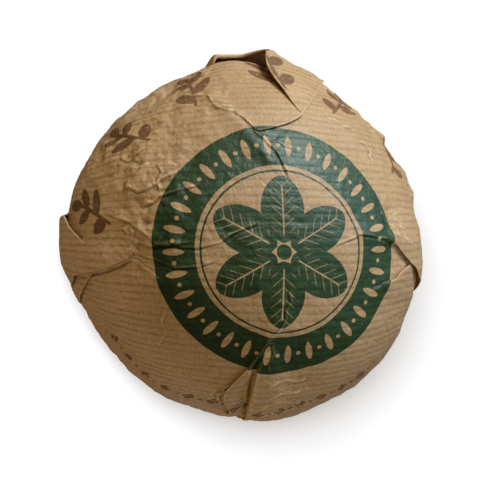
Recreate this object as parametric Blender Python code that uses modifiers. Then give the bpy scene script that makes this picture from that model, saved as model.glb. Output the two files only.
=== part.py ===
"""A tuocha: a nest-shaped cake of pressed tea, shut in a square of ribbed kraft paper.

The cake stands on its rim with the domed crown up. The paper lies smooth over the crown, takes up its
slack in big folds at its sides, and is gathered in knife pleats under the rim, where its corners are
twisted together and pushed up into the hollow of the cake.

Places on the paper are given as on the flat sheet: degrees round from +X, and the arc in millimetres from
the top of the crown.
"""
import math

import bmesh
import bpy
import numpy as np
from mathutils import Matrix, Vector

MM = 0.001

# The turned shape of the wrapped cake, in millimetres
GIRTH_RADIUS = 41.5
GIRTH_HEIGHT = 11.0
CROWN_HEIGHT = 36.0
FOOT_OUTER_RADIUS = 33.5
FOOT_INNER_RADIUS = 28.5
HOLLOW_TOP_RADIUS = 8.5
HOLLOW_DEPTH = 14.0
TWIST_RADIUS = 5.5
TWIST_ROOT_HEIGHT = 13.0
TWIST_TIP_HEIGHT = 8.5

# How many points each stretch of the turned profile has in the model, and in the table that places paper on it
COARSE = {"crown": 18, "turn": 7, "foot": 3, "hollow": 8, "twist": 5}
FINE = {"crown": 400, "turn": 160, "foot": 30, "hollow": 160, "twist": 60}

# The cake is slightly oval, as pressed by hand in a cloth bag
OVAL = 1.0
OVAL_DEG = 142.0

# Knife pleats under the rim: each rises over its columns and drops steeply at its folded edge
PLEATS = 24
PLEAT_COLUMNS = (0.0, 0.3, 0.62, 0.9)
PLEAT_WANDER = 0.44
PLEAT_START = 60.0
PLEAT_FULL = 72.0
PLEAT_STEP = 1.1
PLEAT_MIDDLE = 0.4
TWIST_TURN_DEG = 70.0
TWIST_RUN = 30.0
SEED = 7

# Where the paper stands off the cake or lies close to it: degrees, arc, lift, spread
SWELLS = (
    (96.0, 56.0, 1.9, 9.0),
    (67.0, 56.5, 1.3, 6.0),
    (42.0, 57.0, 0.3, 8.0),
    (28.0, 56.0, -0.2, 6.0),
    (6.0, 57.0, -1.4, 8.0),
    (-1.0, 53.0, -1.8, 6.5),
    (-6.0, 55.0, -0.45, 4.0),
    (-14.0, 54.0, -1.2, 9.0),
    (-46.0, 55.0, 0.0, 11.0),
    (-62.0, 56.0, -0.5, 7.0),
    (-66.0, 56.0, 0.4, 4.0),
    (-78.0, 57.0, 0.9, 6.0),
    (-102.5, 56.0, -1.6, 4.2),
    (-122.0, 57.0, 0.4, 5.0),
    (-131.0, 57.0, -0.5, 3.2),
    (-145.0, 56.0, -0.95, 8.0),
    (-170.0, 59.0, 0.8, 4.5),
    (-179.0, 59.0, 1.6, 6.5),
    (163.0, 58.0, 0.35, 6.0),
    (140.0, 55.0, -0.9, 8.0),
    (122.0, 56.0, -1.1, 7.0),
    (114.5, 56.0, -0.75, 3.8),
)

# Ridges that the pull of the folds raises: from, to (degrees, arc), lift, half width
RIDGES = (
    ((168.0, 47.0), (176.0, 25.0), 0.5, 2.6),
    ((-170.0, 44.0), (-163.0, 26.0), 0.5, 2.6),
    ((110.0, 41.0), (97.0, 21.0), 0.6, 2.2),
    ((2.0, 38.0), (11.0, 20.0), 0.6, 2.4),
    ((-8.0, 38.0), (-16.0, 28.0), 0.3, 2.4),
    ((137.0, 54.0), (142.0, 32.0), 0.4, 3.6),
    ((-99.0, 24.0), (-92.0, 12.0), 0.4, 2.2),
)

# A fold's solid reaches this far below the paper, and its root is sunk this far so that it blends in
FOLD_DEPTH = 5.5
ROOT_SINK = 1.0
FOLD_ALONG = 18
FOLD_ACROSS = 4

# Each fold lies between its free edge and its root, as rows of degrees, arc and lift off the cake. Its bulge
# says how full it rises from the root: 0 for an even slope that eases in and out, 1 for a round swell
FOLDS = {
    "crown_tuck": {
        "free": ((108, 37.0, -0.3), (104.5, 33.2, 0.1), (101.8, 30.4, 0.35), (99.4, 28.2, 0.5),
                 (96, 28.1, 0.6), (91, 28.8, 0.7), (86, 29.8, 0.8), (81.5, 31.2, 0.9), (77.3, 33.5, 1.0),
                 (75, 36.5, 1.0), (72, 41.0, 1.0), (69.5, 46.0, 1.0), (67.5, 50.5, 1.0), (66, 54.5, 0.9),
                 (65, 58.0, 0.6), (64.5, 62.0, -0.3)),
        "root": ((111, 41.0, -0.3), (108, 46.0, -0.3), (104, 50.0, -0.3), (96, 54.0, -0.3),
                 (86, 57.0, -0.3), (76, 60.0, -0.3), (69, 63.0, -0.3)),
        "bulge": 0.2,
    },
    "top_flap": {
        "free": ((103, 59.0, -0.4), (102, 57.0, 0.6), (100.5, 57.0, 1.9), (98, 57.0, 1.6), (95.5, 57.0, 1.5),
                 (93.2, 57.0, 1.6), (91, 56.3, 2.2), (89, 55.8, 3.0), (87.2, 55.0, 3.7), (86.4, 53.8, 4.2),
                 (87.1, 51.6, 3.6), (87.6, 48.0, 2.8), (86.6, 44.5, 2.2), (84, 40.3, 1.8), (81, 36.7, 1.4),
                 (78.2, 34.2, 1.15)),
        "root": ((106, 61.0, -0.6), (103, 64.5, -0.6), (96, 67.0, -0.6), (86, 67.0, -0.6), (76, 66.0, -0.5),
                 (69, 64.0, -0.4), (66.5, 60.0, 0.2), (67, 56.0, 0.85), (68.2, 52.0, 0.95), (69.9, 47.6, 0.98),
                 (72.3, 41.4, 1.0), (75.2, 36.9, 1.0), (77.6, 34.0, 1.05)),
        "bulge": 1.6,
    },
    "left_pocket": {
        "free": ((170.2, 61.0, -0.3), (170.6, 58.8, 1.7), (171.0, 57.4, 2.0), (172.6, 56.2, 1.6),
                 (174.5, 53.6, 1.5), (176, 51.3, 1.4), (177.6, 49.6, 1.1), (178.8, 48.6, 0.7)),
        "root": ((167, 67.0, -0.6), (173, 70.0, -0.6), (180, 70.5, -0.6), (-174, 70.0, -0.6),
                 (-168, 67.0, -0.5), (-166.5, 62.0, -0.1), (-168, 57.0, 1.0), (-171.3, 53.2, 1.55),
                 (-176, 50.4, 1.1), (179.5, 48.5, 0.6)),
        "bulge": 1.0,
    },
    "left_under": {
        "free": ((-174, 46.5, -0.1), (-170.5, 49.0, 0.6), (-167.5, 52.0, 1.0), (-165, 55.0, 1.0),
                 (-163, 57.5, 0.8), (-161, 62.0, 0.2)),
        "root": ((-176, 49.5, -0.2), (-174, 54.0, -0.2), (-172, 60.0, -0.3), (-169, 66.0, -0.4),
                 (-164, 68.0, -0.4), (-161, 67.0, -0.4)),
        "bulge": 0.6,
    },
    "left_flap": {
        "free": ((177, 32.5, -0.2), (-178.5, 34.4, 0.3), (-176.5, 36.4, 0.8), (-175.4, 38.4, 1.2),
                 (-174, 41.2, 1.6), (-173, 45.6, 1.9), (-172.0, 50.8, 2.0), (-171.6, 53.0, 2.0),
                 (-172.2, 54.3, 1.9)),
        "root": ((173, 30.0, -0.2), (169, 35.0, -0.2), (166, 41.0, -0.2), (168, 45.5, -0.2),
                 (172, 48.3, 0.2), (176.3, 49.2, 0.9)),
        "bulge": -0.2,
    },
    "bottom_pleat": {
        "free": ((-93, 17.5, -0.2), (-96, 19.5, 0.2), (-98.5, 21.3, 0.4), (-101, 24.8, 0.6), (-102.5, 27.3, 0.8),
                 (-103.5, 29.3, 0.9), (-105, 31.5, 1.0), (-106.5, 35.0, 1.0), (-107, 37.8, 1.1),
                 (-106, 40.5, 1.2), (-104.5, 42.5, 1.2), (-101.5, 45.5, 1.1), (-100, 50.0, 0.9),
                 (-99, 55.0, 0.4), (-98, 60.0, -0.2)),
        "root": ((-90, 18.0, -0.3), (-93, 24.0, -0.3), (-95, 29.0, -0.5), (-95.5, 34.0, -0.7),
                 (-95, 40.0, -0.8), (-94, 46.0, -0.8), (-92, 53.0, -0.7), (-91, 60.0, -0.5)),
        "bulge": 0.3,
    },
    "bottom_lap": {
        "free": ((-92, 21.0, -0.2), (-96, 23.5, 0.3), (-98.3, 26.0, 0.8), (-98.4, 28.8, 1.2), (-98, 31.3, 1.5),
                 (-97.5, 34.8, 1.7), (-96.5, 40.8, 1.8), (-95, 46.0, 1.7), (-93.5, 51.0, 1.4),
                 (-93, 56.0, 1.1), (-92.5, 61.0, 0.3)),
        "root": ((-85, 21.0, -0.2), (-80, 29.0, -0.2), (-77, 38.0, -0.2), (-76, 46.0, -0.2),
                 (-77, 54.0, -0.2), (-80, 62.0, -0.4)),
        "bulge": 0.5,
    },
    "right_tuck": {
        "free": ((-19, 26.0, -0.2), (-15.5, 28.2, 0.3), (-14, 30.7, 0.5), (-11.5, 31.8, 0.6), (-8.4, 34.0, 0.7),
                 (-7.4, 35.7, 0.7), (-9.6, 36.9, 0.7), (-13.5, 39.5, 0.7), (-17.5, 43.0, 0.5),
                 (-20, 48.0, 0.1)),
        "root": ((-25, 27.0, -0.2), (-29, 34.0, -0.2), (-30, 40.0, -0.2), (-28, 46.0, -0.2),
                 (-24, 51.0, -0.2)),
        "bulge": 0.3,
    },
    "right_lap": {
        "free": ((9, 25.0, -0.2), (5.5, 27.2, 0.2), (3, 28.5, 0.5), (1.5, 30.3, 0.7), (-2, 32.5, 0.9),
                 (-5.5, 35.3, 1.15), (-7.2, 37.2, 1.25), (-9.5, 39.8, 1.35), (-11.5, 43.8, 1.35),
                 (-13.5, 49.0, 1.3), (-15.8, 54.0, 1.1), (-18, 60.0, 0.1)),
        "root": ((14, 26.0, -0.2), (19, 33.0, -0.2), (21, 40.0, -0.2), (19, 48.0, -0.2), (12, 56.0, -0.3),
                 (2, 62.0, -0.4)),
        "bulge": 0.2,
    },
}

# Kraft paper, as Blender colour values
KRAFT_COLOUR = (0.42, 0.26, 0.13, 1.0)
KRAFT_ROUGHNESS = 0.7
SHARP_DEG = 30.0


def clear_scene():
    for item in list(bpy.data.objects):
        bpy.data.objects.remove(item, do_unlink=True)


def turned_profile(counts):
    """(radius, height) from the top of the crown, down over the girth, under the rim and up the hollow."""
    points = []
    for t in np.linspace(0.0, math.pi / 2, counts["crown"]):
        points.append((GIRTH_RADIUS * math.sin(t), GIRTH_HEIGHT + CROWN_HEIGHT * math.cos(t)))
    for t in np.linspace(0.0, math.pi / 2, counts["turn"] + 1)[1:]:
        rim = GIRTH_RADIUS - FOOT_OUTER_RADIUS
        points.append((FOOT_OUTER_RADIUS + rim * math.cos(t), GIRTH_HEIGHT * (1.0 - math.sin(t))))
    for radius in np.linspace(FOOT_OUTER_RADIUS, FOOT_INNER_RADIUS, counts["foot"])[1:]:
        points.append((radius, 0.0))
    for t in np.linspace(0.0, 1.0, counts["hollow"] + 1)[1:]:
        radius = FOOT_INNER_RADIUS + (HOLLOW_TOP_RADIUS - FOOT_INNER_RADIUS) * t
        points.append((radius, HOLLOW_DEPTH * (1.0 - math.cos(math.pi * t)) / 2))
    for t in np.linspace(0.0, math.pi / 2, counts["twist"]):
        drop = (TWIST_ROOT_HEIGHT - TWIST_TIP_HEIGHT) * math.sin(t)
        points.append((TWIST_RADIUS * math.cos(t), TWIST_ROOT_HEIGHT - drop))
    return np.array(points)


def arc_lengths(profile):
    steps = np.hypot(*np.diff(profile, axis=0).T)
    return np.concatenate([[0.0], np.cumsum(steps)])


FINE_PROFILE = turned_profile(FINE)
FINE_ARC = arc_lengths(FINE_PROFILE)
TIP_ARC = FINE_ARC[-1]
FOOT_START = FINE_ARC[FINE["crown"] + FINE["turn"] - 1]
FOOT_END = FOOT_START + FOOT_OUTER_RADIUS - FOOT_INNER_RADIUS


def smooth_step(x, low, high):
    t = np.clip((x - low) / (high - low), 0.0, 1.0)
    return t * t * (3.0 - 2.0 * t)


def pleat_edges():
    """The angles where the pleats start, unevenly spaced as a hand folds them."""
    dice = np.random.default_rng(SEED)
    widths = 1.0 + dice.uniform(-PLEAT_WANDER, PLEAT_WANDER, PLEATS)
    return np.concatenate([[0.0], np.cumsum(widths)]) / widths.sum() * 2 * math.pi


PLEAT_EDGES = pleat_edges()
PLEAT_HEIGHTS = np.random.default_rng(SEED + 1).uniform(0.6, 1.2, PLEATS)


def twist_turn(arc):
    """How far the pleats have turned with the twist of the paper's corners."""
    return math.radians(TWIST_TURN_DEG) * smooth_step(arc, TIP_ARC - TWIST_RUN, TIP_ARC)


def pleat_lift(angle, arc):
    around = np.mod(angle + twist_turn(arc), 2 * math.pi)
    index = np.clip(np.searchsorted(PLEAT_EDGES, around, side="right") - 1, 0, PLEATS - 1)
    share = (around - PLEAT_EDGES[index]) / (PLEAT_EDGES[index + 1] - PLEAT_EDGES[index])
    last = PLEAT_COLUMNS[-1]
    saw = np.where(share < last, share / last, (1.0 - share) / (1.0 - last))
    grown = smooth_step(arc, PLEAT_START, PLEAT_FULL)
    faded = 1.0 - 0.75 * smooth_step(arc, TIP_ARC - 12.0, TIP_ARC)
    return PLEAT_STEP * PLEAT_HEIGHTS[index] * (saw - PLEAT_MIDDLE) * grown * faded


def swell_lift(angle, arc):
    total = np.zeros_like(angle)
    for degrees, centre, lift, spread in SWELLS:
        turn = np.mod(angle - math.radians(degrees) + math.pi, 2 * math.pi) - math.pi
        sideways = turn * GIRTH_RADIUS
        total = total + lift * np.exp(-(sideways**2 + (arc - centre) ** 2) / spread**2)
    return total


def sheet_point(degrees, arc):
    """Where this place lies on the flat sheet, in mm from the crown."""
    return arc * math.cos(math.radians(degrees)), arc * math.sin(math.radians(degrees))


def ridge_lift(angle, arc):
    x, y = arc * np.cos(angle), arc * np.sin(angle)
    total = np.zeros_like(angle)
    for start, end, lift, half_width in RIDGES:
        x0, y0 = sheet_point(*start)
        x1, y1 = sheet_point(*end)
        run = (x1 - x0) ** 2 + (y1 - y0) ** 2
        share = np.clip(((x - x0) * (x1 - x0) + (y - y0) * (y1 - y0)) / run, 0.0, 1.0)
        gap = (x - x0 - share * (x1 - x0)) ** 2 + (y - y0 - share * (y1 - y0)) ** 2
        total = total + lift * np.exp(-gap / half_width**2)
    return total


def on_profile(arc):
    return np.interp(arc, FINE_ARC, FINE_PROFILE[:, 0]), np.interp(arc, FINE_ARC, FINE_PROFILE[:, 1])


def on_cake(angle, arc, lift=0.0):
    """Points in mm at these angles and arcs, this far off the paper's own surface."""
    angle, arc = np.broadcast_arrays(np.asarray(angle, float), np.asarray(arc, float))
    radius, height = on_profile(arc)
    next_radius, next_height = on_profile(arc + 0.4)
    last_radius, last_height = on_profile(arc - 0.4)
    length = np.maximum(np.hypot(next_radius - last_radius, next_height - last_height), 1e-9)
    out_radius = -(next_height - last_height) / length
    out_height = (next_radius - last_radius) / length
    off = lift + swell_lift(angle, arc) + ridge_lift(angle, arc) + pleat_lift(angle, arc)
    pressed = (arc > FOOT_START - 0.1) & (arc < FOOT_END + 0.1)
    off = np.where(pressed, np.maximum(off, 0.0), off)
    oval = 1.0 + OVAL / GIRTH_RADIUS * np.cos(2 * (angle - math.radians(OVAL_DEG)))
    radius = (radius + out_radius * off) * oval
    height = np.maximum(height + out_height * off, 0.0)
    return np.stack([radius * np.cos(angle), radius * np.sin(angle), height], axis=-1)


def kraft_material():
    material = bpy.data.materials.new("kraft_paper")
    material.use_nodes = True
    shader = material.node_tree.nodes["Principled BSDF"]
    shader.inputs["Base Color"].default_value = KRAFT_COLOUR
    shader.inputs["Roughness"].default_value = KRAFT_ROUGHNESS
    shader.inputs["Metallic"].default_value = 0.0
    return material


def new_object(name, mesh, collection):
    thing = bpy.data.objects.new(name, mesh)
    collection.objects.link(thing)
    return thing


def realised_mesh(thing):
    bpy.context.view_layer.update()
    graph = bpy.context.evaluated_depsgraph_get()
    return bpy.data.meshes.new_from_object(thing.evaluated_get(graph))


def turned_blank(profile, columns, collection):
    """The round cake: the profile turned by a Screw."""
    outline = bpy.data.meshes.new("cake_outline")
    points = [(radius * MM, 0.0, height * MM) for radius, height in profile]
    outline.from_pydata(points, [(i, i + 1) for i in range(len(points) - 1)], [])
    blank = new_object("cake_blank", outline, collection)
    screw = blank.modifiers.new("Turn", "SCREW")
    screw.axis = "Z"
    screw.angle = 2 * math.pi
    screw.steps = columns
    screw.render_steps = columns
    screw.use_merge_vertices = True
    screw.merge_threshold = 0.00002
    mesh = realised_mesh(blank)
    bpy.data.objects.remove(blank, do_unlink=True)
    return mesh


def pressed_cake(collection):
    """The round cake pressed oval, with its paper swelled, ridged and pleated."""
    profile = turned_profile(COARSE)
    arc_of_ring = arc_lengths(profile)
    columns = PLEATS * len(PLEAT_COLUMNS)
    mesh = turned_blank(profile, columns, collection)
    for vertex in mesh.vertices:
        x, y, z = vertex.co / MM
        radius = math.hypot(x, y)
        if radius < 0.01:
            continue
        ring = np.argmin((profile[:, 0] - radius) ** 2 + (profile[:, 1] - z) ** 2)
        column = round(math.atan2(y, x) / (2 * math.pi) * columns) % columns
        pleat, step = divmod(column, len(PLEAT_COLUMNS))
        width = PLEAT_EDGES[pleat + 1] - PLEAT_EDGES[pleat]
        angle = PLEAT_EDGES[pleat] + PLEAT_COLUMNS[step] * width - twist_turn(arc_of_ring[ring])
        vertex.co = Vector(on_cake(angle, arc_of_ring[ring])) * MM
    mesh.update()
    return new_object("wrapped_tuocha", mesh, collection)


def smooth_rail(points, count):
    """A smooth line through a fold's points, evenly spaced, as rows of sheet x, sheet y and lift."""
    named = np.array([(*sheet_point(degrees, arc), lift) for degrees, arc, lift in points])
    hull = np.concatenate([2 * named[:1] - named[1:2], named, 2 * named[-1:] - named[-2:-1]])
    fine = []
    for a, b, c, d in zip(hull, hull[1:], hull[2:], hull[3:]):
        for t in np.linspace(0.0, 1.0, 12, endpoint=False):
            bend = (2 * a - 5 * b + 4 * c - d) * t**2 + (3 * b - a - 3 * c + d) * t**3
            fine.append(b + 0.5 * ((c - a) * t + bend))
    fine.append(named[-1])
    fine = np.array(fine)
    run = np.concatenate([[0.0], np.cumsum(np.hypot(*np.diff(fine[:, :2], axis=0).T))])
    even = np.linspace(0.0, run[-1], count)
    return np.stack([np.interp(even, run, fine[:, axis]) for axis in range(3)], axis=-1)


def fold_solid(name, fold, collection):
    """One fold: a grid laid from its root to its free edge, extruded down into the cake."""
    free = smooth_rail(fold["free"], FOLD_ALONG + 1)
    root = smooth_rail(fold["root"], FOLD_ALONG + 1)
    shell = bmesh.new()
    bmesh.ops.create_grid(shell, x_segments=FOLD_ALONG, y_segments=FOLD_ACROSS, size=0.5)
    pushed = bmesh.ops.extrude_face_region(shell, geom=list(shell.faces))["geom"]
    buried = {item for item in pushed if isinstance(item, bmesh.types.BMVert)}
    for vertex in shell.verts:
        along = round((vertex.co.x + 0.5) * FOLD_ALONG)
        across = vertex.co.y + 0.5
        eased = across**2 * (3.0 - 2.0 * across)
        rounded = 1.0 - (1.0 - across) ** 2
        share = eased + (rounded - eased) * fold["bulge"]
        x, y = root[along, :2] + (free[along, :2] - root[along, :2]) * across
        low = root[along, 2] - ROOT_SINK
        lift = low + (free[along, 2] - low) * share
        if vertex in buried:
            lift = -FOLD_DEPTH
        vertex.co = Vector(on_cake(math.atan2(y, x), math.hypot(x, y), lift)) * MM
    bmesh.ops.recalc_face_normals(shell, faces=shell.faces)
    mesh = bpy.data.meshes.new(name)
    shell.to_mesh(mesh)
    shell.free()
    return new_object(name, mesh, collection)


def stand_centred(mesh):
    """Moves the mesh so that its box stands centred over the origin."""
    places = np.array([vertex.co for vertex in mesh.vertices])
    middle = (places.min(axis=0) + places.max(axis=0)) / 2
    mesh.transform(Matrix.Translation((-middle[0], -middle[1], 0.0)))


def wrapped_tuocha():
    """The whole pack, one closed solid: the cake's body and every fold joined by one union."""
    model = bpy.data.collections.new("tuocha")
    folds = bpy.data.collections.new("folds")
    bpy.context.scene.collection.children.link(model)
    bpy.context.scene.collection.children.link(folds)
    cake = pressed_cake(model)
    for name, fold in FOLDS.items():
        fold_solid(name, fold, folds)
    join = cake.modifiers.new("Folds", "BOOLEAN")
    join.operation = "UNION"
    join.operand_type = "COLLECTION"
    join.collection = folds
    join.solver = "EXACT"
    joined = realised_mesh(cake)
    cake.modifiers.clear()
    cake.data = joined
    for piece in list(folds.objects):
        bpy.data.objects.remove(piece, do_unlink=True)
    bpy.data.collections.remove(folds)
    joined.materials.clear()
    joined.materials.append(kraft_material())
    joined.shade_smooth()
    joined.set_sharp_from_angle(angle=math.radians(SHARP_DEG))
    stand_centred(joined)


def main():
    clear_scene()
    wrapped_tuocha()


main()
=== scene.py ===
"""A paper-wrapped tuocha on a pale studio floor.

One square of ribbed kraft paper is wrapped over the cake: a flat sheet is gridded, creased and laid over the
turned shape, its slack stands up in folds at the sides, and its edge is pleated under the rim and twisted.
Places on the paper are given as on the flat sheet: millimetres right and up from the top of the crown, or
degrees round from +X and the arc in millimetres.
"""
import math

import bmesh
import bpy
import numpy as np
from bpy.props import FloatProperty, FloatVectorProperty, IntProperty, PointerProperty
from mathutils import Matrix, Vector
from mathutils.geometry import delaunay_2d_cdt


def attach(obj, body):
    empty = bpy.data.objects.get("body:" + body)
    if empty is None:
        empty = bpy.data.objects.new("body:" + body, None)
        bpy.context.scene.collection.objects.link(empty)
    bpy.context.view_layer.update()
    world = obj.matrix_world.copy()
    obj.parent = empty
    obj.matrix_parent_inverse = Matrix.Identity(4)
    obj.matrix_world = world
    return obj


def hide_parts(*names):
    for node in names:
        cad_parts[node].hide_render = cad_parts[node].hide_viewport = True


bl_info = {
    "name": "Wrapped Tuocha",
    "version": (1, 0, 0),
    "blender": (4, 5, 0),
    "location": "View3D > Sidebar > Tuocha",
    "description": "Builds a tea cake wrapped in printed kraft paper, and the studio around it",
    "category": "Object",
}

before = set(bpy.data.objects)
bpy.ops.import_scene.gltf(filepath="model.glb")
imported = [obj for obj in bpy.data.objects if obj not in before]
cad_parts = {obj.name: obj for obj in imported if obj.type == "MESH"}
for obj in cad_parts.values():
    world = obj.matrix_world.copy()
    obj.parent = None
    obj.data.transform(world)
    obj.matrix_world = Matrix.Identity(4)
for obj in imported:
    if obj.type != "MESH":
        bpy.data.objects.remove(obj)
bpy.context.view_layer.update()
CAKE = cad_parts["wrapped_tuocha"]
MM = 0.001
TINY = 1e-6
FAR = 1e9
CROWN_TOP = max(CAKE.data.vertices, key=lambda vertex: vertex.co.z).co / MM

# The turned shape of the wrapped cake
GIRTH_RADIUS = 41.5
GIRTH_HEIGHT = 11.0
CROWN_HEIGHT = CROWN_TOP.z - GIRTH_HEIGHT
FOOT_OUTER_RADIUS = 33.5
FOOT_INNER_RADIUS = 28.5
HOLLOW_TOP_RADIUS = 8.5
HOLLOW_DEPTH = 14.0
TWIST_RADIUS = 5.5
TWIST_ROOT_HEIGHT = 13.0
TWIST_TIP_HEIGHT = 8.5
PROFILE_POINTS = {"crown": 400, "turn": 160, "foot": 30, "hollow": 160, "twist": 60}
OVAL = 1.0
OVAL_DEG = 142.0

# Knife pleats under the rim
PLEATS = 24
PLEAT_RISE_SHARE = 0.9
PLEAT_WANDER = 0.44
PLEAT_START = 62.0
PLEAT_FULL = 73.0
PLEAT_STEP = 1.1
PLEAT_MIDDLE = 0.4
PLEAT_HEIGHT_RANGE = (0.6, 1.2)
PLEAT_RIPPLE = 0.12
PLEAT_RIPPLE_TURNS = 13.0
PLEAT_RIPPLE_SHIFT = 2.3
PLEAT_FADE = 0.75
PLEAT_FADE_RUN = 12.0
TWIST_TURN_DEG = 70.0
TWIST_RUN = 30.0
SEED = 7

# Where the paper stands off the cake or lies close to it: degrees, arc, lift, spread
SWELLS = (
    (96, 56, 1.9, 9), (67, 56.5, 1.3, 6), (42, 57, 0.3, 8), (28, 56, -0.2, 6), (6, 57, -1.4, 8),
    (-1, 53, -1.8, 6.5), (-6, 55, -0.45, 4), (-14, 54, -1.2, 9), (-46, 55, 0, 11), (-62, 56, -0.5, 7),
    (-66, 56, 0.4, 4), (-78, 57, 0.9, 6), (-102.5, 56, -1.6, 4.2), (-122, 57, 0.4, 5), (-131, 57, -0.5, 3.2),
    (-145, 56, -0.95, 8), (-170, 59, 0.8, 4.5), (-179, 59, 1.6, 6.5), (163, 58, 0.35, 6), (140, 55, -0.9, 8),
    (122, 56, -1.1, 7), (114.5, 56, -0.75, 3.8),
)

# Soft ridges that the pull of the folds raises: from, to (degrees, arc), lift, half width
RIDGES = (
    ((168, 47), (176, 25), 0.5, 2.6),
    ((-170, 44), (-163, 26), 0.5, 2.6),
    ((110, 41), (97, 21), 0.6, 2.2),
    ((2, 38), (11, 20), 0.6, 2.4),
    ((-8, 38), (-16, 28), 0.3, 2.4),
    ((137, 54), (142, 32), 0.4, 3.6),
    ((-99, 24), (-92, 12), 0.4, 2.2),
)

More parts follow.
